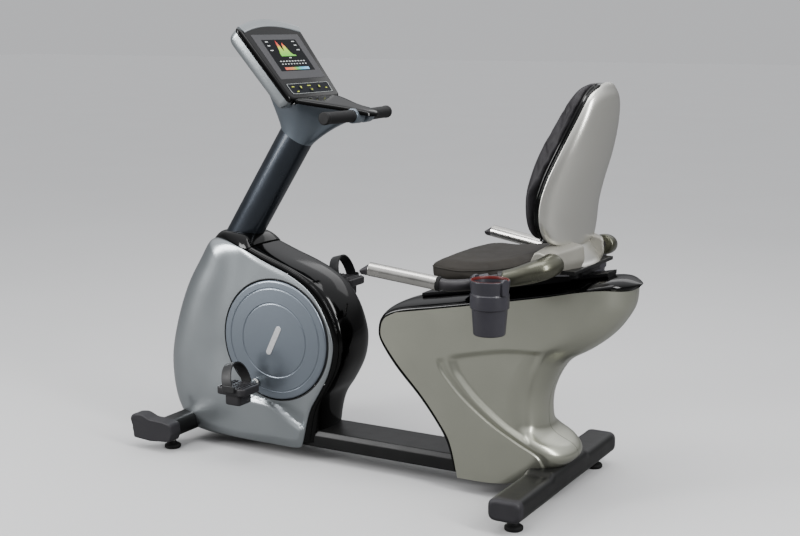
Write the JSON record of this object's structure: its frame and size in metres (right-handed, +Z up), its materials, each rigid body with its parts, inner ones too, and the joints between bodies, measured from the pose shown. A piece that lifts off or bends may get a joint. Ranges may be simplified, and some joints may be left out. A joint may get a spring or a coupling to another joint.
{
  "type": "recumbent exercise bike",
  "caption": "Recumbent exercise bike with a step-through frame, pedals with straps on a shrouded crank, console on a mast, and a sliding seat with backrest, hand rails and cup holders.",
  "frame": {"origin": "on the floor, under the middle of the overall box", "axes": "+X from the console end to the seat end, +Y to the right hand of the rider, who faces -X, +Z up"},
  "size_m": [1.549, 0.7826, 1.2958],
  "materials": {
    "silver_paint": "silver grey metallic paint on moulded ABS",
    "champagne_paint": "champagne silver metallic paint on moulded ABS",
    "disc_paint": "blue grey metallic paint, satin",
    "mast_paint": "dark blue grey metallic enamel",
    "neck_plastic": "steel grey paint on moulded ABS, satin",
    "black_gloss": "piano black moulded ABS",
    "black_paint": "satin black powder coat",
    "grey_plastic": "dark grey moulded plastic, satin",
    "cup_plastic": "charcoal moulded plastic, satin",
    "rubber": "black rubber, matt",
    "seat_leather": "brown black coated fabric, fine grain, matt",
    "back_leather": "black coated fabric, fine grain, matt",
    "steel": "brushed stainless steel",
    "cast_iron": "turned cast iron",
    "cover_plastic": "warm light grey paint, satin",
    "slide_metal": "black anodised aluminium",
    "display_glass": "glossy screen window",
    "keys": "rubber keys with a plain mark"
  },
  "bodies": {
    "frame": {"main_rail": "black_paint", "front_stabiliser": "black_paint", "rear_stabiliser": "black_paint", "rear_end_cap_left": "grey_plastic", "rear_end_cap_right": "grey_plastic", "wheel_fork_left": "grey_plastic", "wheel_fork_right": "grey_plastic", "drive_frame": "black_paint", "bearing_cartridge": "steel", "drive_belt": "rubber", "brake_magnet": "cast_iron", "front_shroud_left": "silver_paint", "front_shroud_right": "silver_paint", "front_shroud_spine": "black_gloss", "dc_inlet": "black_paint", "mast": "mast_paint", "mast_collar": "black_gloss", "console_bezel": "black_gloss", "display": "display_glass", "console_back": "silver_paint", "console_neck": "neck_plastic", "handlebar_grip_left": "rubber", "handlebar_grip_right": "rubber", "rear_shroud_left": "champagne_paint", "rear_shroud_right": "champagne_paint", "rear_shroud_spine": "black_gloss", "seat_rail": "slide_metal", "rear_upright": "black_paint"},
    "crank": {"crank_axle": "steel", "drive_pulley": "cast_iron", "crank_arm_left": "steel", "crank_arm_right": "steel", "crank_disc_left": "disc_paint", "crank_disc_right": "disc_paint"},
    "pedal_left": {"pedal_left": "grey_plastic", "pedal_strap_left": "rubber"},
    "pedal_right": {"pedal_right": "grey_plastic", "pedal_strap_right": "rubber"},
    "flywheel": {"flywheel": "cast_iron"},
    "wheel_left": {"transport_wheel_left": "rubber"},
    "wheel_right": {"transport_wheel_right": "rubber"},
    "foot_front_left": {"levelling_foot_front_left": "rubber"},
    "foot_front_right": {"levelling_foot_front_right": "rubber"},
    "foot_rear_left": {"levelling_foot_rear_left": "rubber"},
    "foot_rear_right": {"levelling_foot_rear_right": "rubber"},
    "seat": {"seat_carriage": "slide_metal", "seat_cushion": "seat_leather", "back_cushion": "back_leather", "back_shell": "silver_paint", "seat_bracket": "cover_plastic", "hand_rail_left": "grey_plastic", "hand_rail_right": "grey_plastic", "pulse_sleeve_left": "steel", "pulse_sleeve_right": "steel", "cup_holder_left": "cup_plastic", "cup_holder_right": "cup_plastic"},
    "seat_lever": {"seat_lever": "black_paint"},
    "key_down": {"key_down": "keys"},
    "key_up": {"key_up": "keys"},
    "key_start": {"key_start": "keys"}
  },
  "joints": [
    {"name": "crank_spin", "type": "hinge", "parent": "frame", "child": "crank", "pos_m": [-0.3225, 0, 0.364], "axis": [0, 1, 0], "continuous": true},
    {"name": "pedal_left_spin", "type": "hinge", "parent": "crank", "child": "pedal_left", "pos_m": [-0.38913, -0.193, 0.22738], "axis": [0, 1, 0], "continuous": true},
    {"name": "pedal_right_spin", "type": "hinge", "parent": "crank", "child": "pedal_right", "pos_m": [-0.25587, 0.193, 0.50062], "axis": [0, 1, 0], "continuous": true},
    {"name": "flywheel_spin", "type": "hinge", "parent": "frame", "child": "flywheel", "pos_m": [-0.6405, 0, 0.24], "axis": [0, 1, 0], "continuous": true},
    {"name": "wheel_left_spin", "type": "hinge", "parent": "frame", "child": "wheel_left", "pos_m": [-0.7465, -0.209, 0.062], "axis": [0, 1, 0], "continuous": true},
    {"name": "wheel_right_spin", "type": "hinge", "parent": "frame", "child": "wheel_right", "pos_m": [-0.7465, 0.209, 0.062], "axis": [0, 1, 0], "continuous": true},
    {"name": "foot_front_left_turn", "type": "hinge", "parent": "frame", "child": "foot_front_left", "pos_m": [-0.6615, -0.168, 0.02], "axis": [0, 0, 1], "continuous": true},
    {"name": "foot_front_right_turn", "type": "hinge", "parent": "frame", "child": "foot_front_right", "pos_m": [-0.6615, 0.168, 0.02], "axis": [0, 0, 1], "continuous": true},
    {"name": "foot_rear_left_turn", "type": "hinge", "parent": "frame", "child": "foot_rear_left", "pos_m": [0.5455, -0.286, 0.02], "axis": [0, 0, 1], "continuous": true},
    {"name": "foot_rear_right_turn", "type": "hinge", "parent": "frame", "child": "foot_rear_right", "pos_m": [0.5455, 0.286, 0.02], "axis": [0, 0, 1], "continuous": true},
    {"name": "seat_slide", "type": "slide", "parent": "frame", "child": "seat", "axis": [0.982, 0, 0.1891], "range_m": [-0.2, 0.05]},
    {"name": "seat_lever_lift", "type": "hinge", "parent": "seat", "child": "seat_lever", "pos_m": [0.4295, 0.0925, 0.6], "axis": [1, 0, 0], "range_deg": [0, 10], "stiffness_Nm_per_rad": 3, "springref_deg": -17.19},
    {"name": "key_down_press", "type": "slide", "parent": "frame", "child": "key_down", "axis": [-0.7771, 0, -0.6293], "range_m": [0, 0.0012], "stiffness_N_per_m": 500, "springref_m": -0.0006},
    {"name": "key_up_press", "type": "slide", "parent": "frame", "child": "key_up", "axis": [-0.7771, 0, -0.6293], "range_m": [0, 0.0012], "stiffness_N_per_m": 500, "springref_m": -0.0006},
    {"name": "key_start_press", "type": "slide", "parent": "frame", "child": "key_start", "axis": [-0.7771, 0, -0.6293], "range_m": [0, 0.0012], "stiffness_N_per_m": 500, "springref_m": -0.0006}
  ],
  "couplings": [
    {"joint": "flywheel_spin", "follows": "crank_spin", "ratio": 4}
  ]
}
